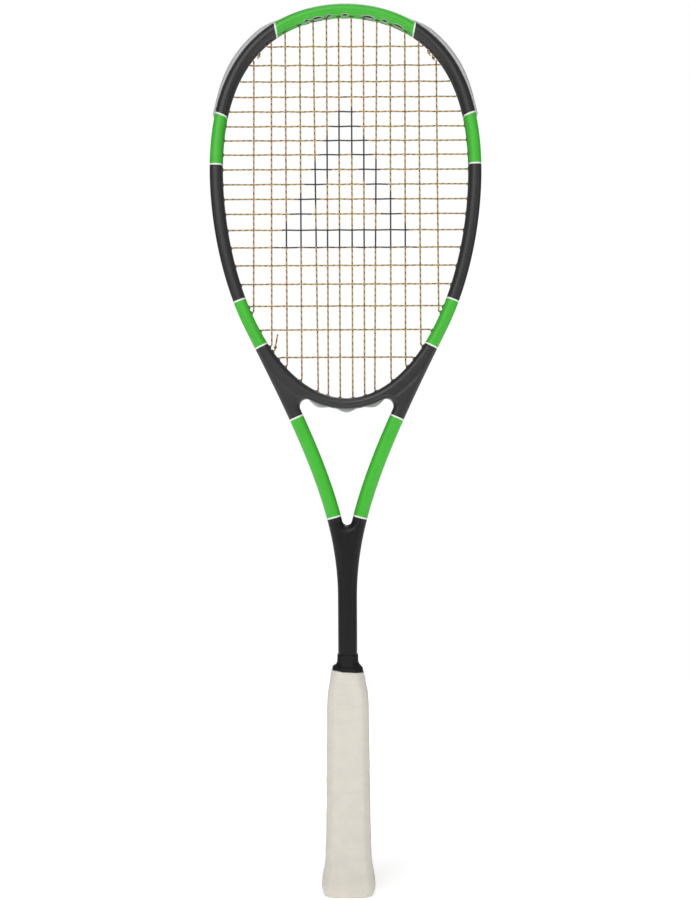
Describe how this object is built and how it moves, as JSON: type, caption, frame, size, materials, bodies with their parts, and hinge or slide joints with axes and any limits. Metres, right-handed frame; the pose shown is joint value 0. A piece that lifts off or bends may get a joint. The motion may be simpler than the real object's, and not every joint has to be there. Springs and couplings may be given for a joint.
{
  "type": "squash racket",
  "caption": "Squash racket with a teardrop head, open throat, woven string bed, bumper guard and pale wrapped grip.",
  "frame": {"origin": "middle of the butt's flat end", "axes": "+Z along the racket from the butt to the head, X across the head, -Y out of the front of the string bed"},
  "size_m": [0.2088, 0.0362, 0.686],
  "materials": {
    "painted_graphite": "satin charcoal and black paint over graphite, with green bands",
    "bumper_plastic": "grey moulded nylon",
    "grommet_nylon": "translucent pale grey nylon",
    "string": "copper-brown twisted nylon string",
    "pallet_foam": "moulded polyurethane foam",
    "cap_plastic": "moulded plastic",
    "plug_plastic": "moulded plastic, blank",
    "staple_steel": "bright steel wire",
    "grip": "soft matt polyurethane, off-white",
    "tape": "black vinyl tape",
    "collar_rubber": "black rubber"
  },
  "bodies": {
    "racket": {"frame": "painted_graphite", "bumper_guard": "bumper_plastic", "grommet_strip_right": "grommet_nylon", "grommet_strip_left": "grommet_nylon", "grommet_strip_throat": "grommet_nylon", "main_string": "string", "cross_string": "string", "handle_pallet": "pallet_foam", "butt_cap": "cap_plastic", "butt_plug": "plug_plastic", "cap_staple_right": "staple_steel", "cap_staple_left": "staple_steel", "grip_wrap": "grip", "finishing_tape": "tape"},
    "collar": {"collar": "collar_rubber"}
  },
  "joints": [
    {"name": "collar_slide", "type": "slide", "parent": "racket", "child": "collar", "axis": [0, 0, 1], "range_m": [0, 0.04]}
  ]
}
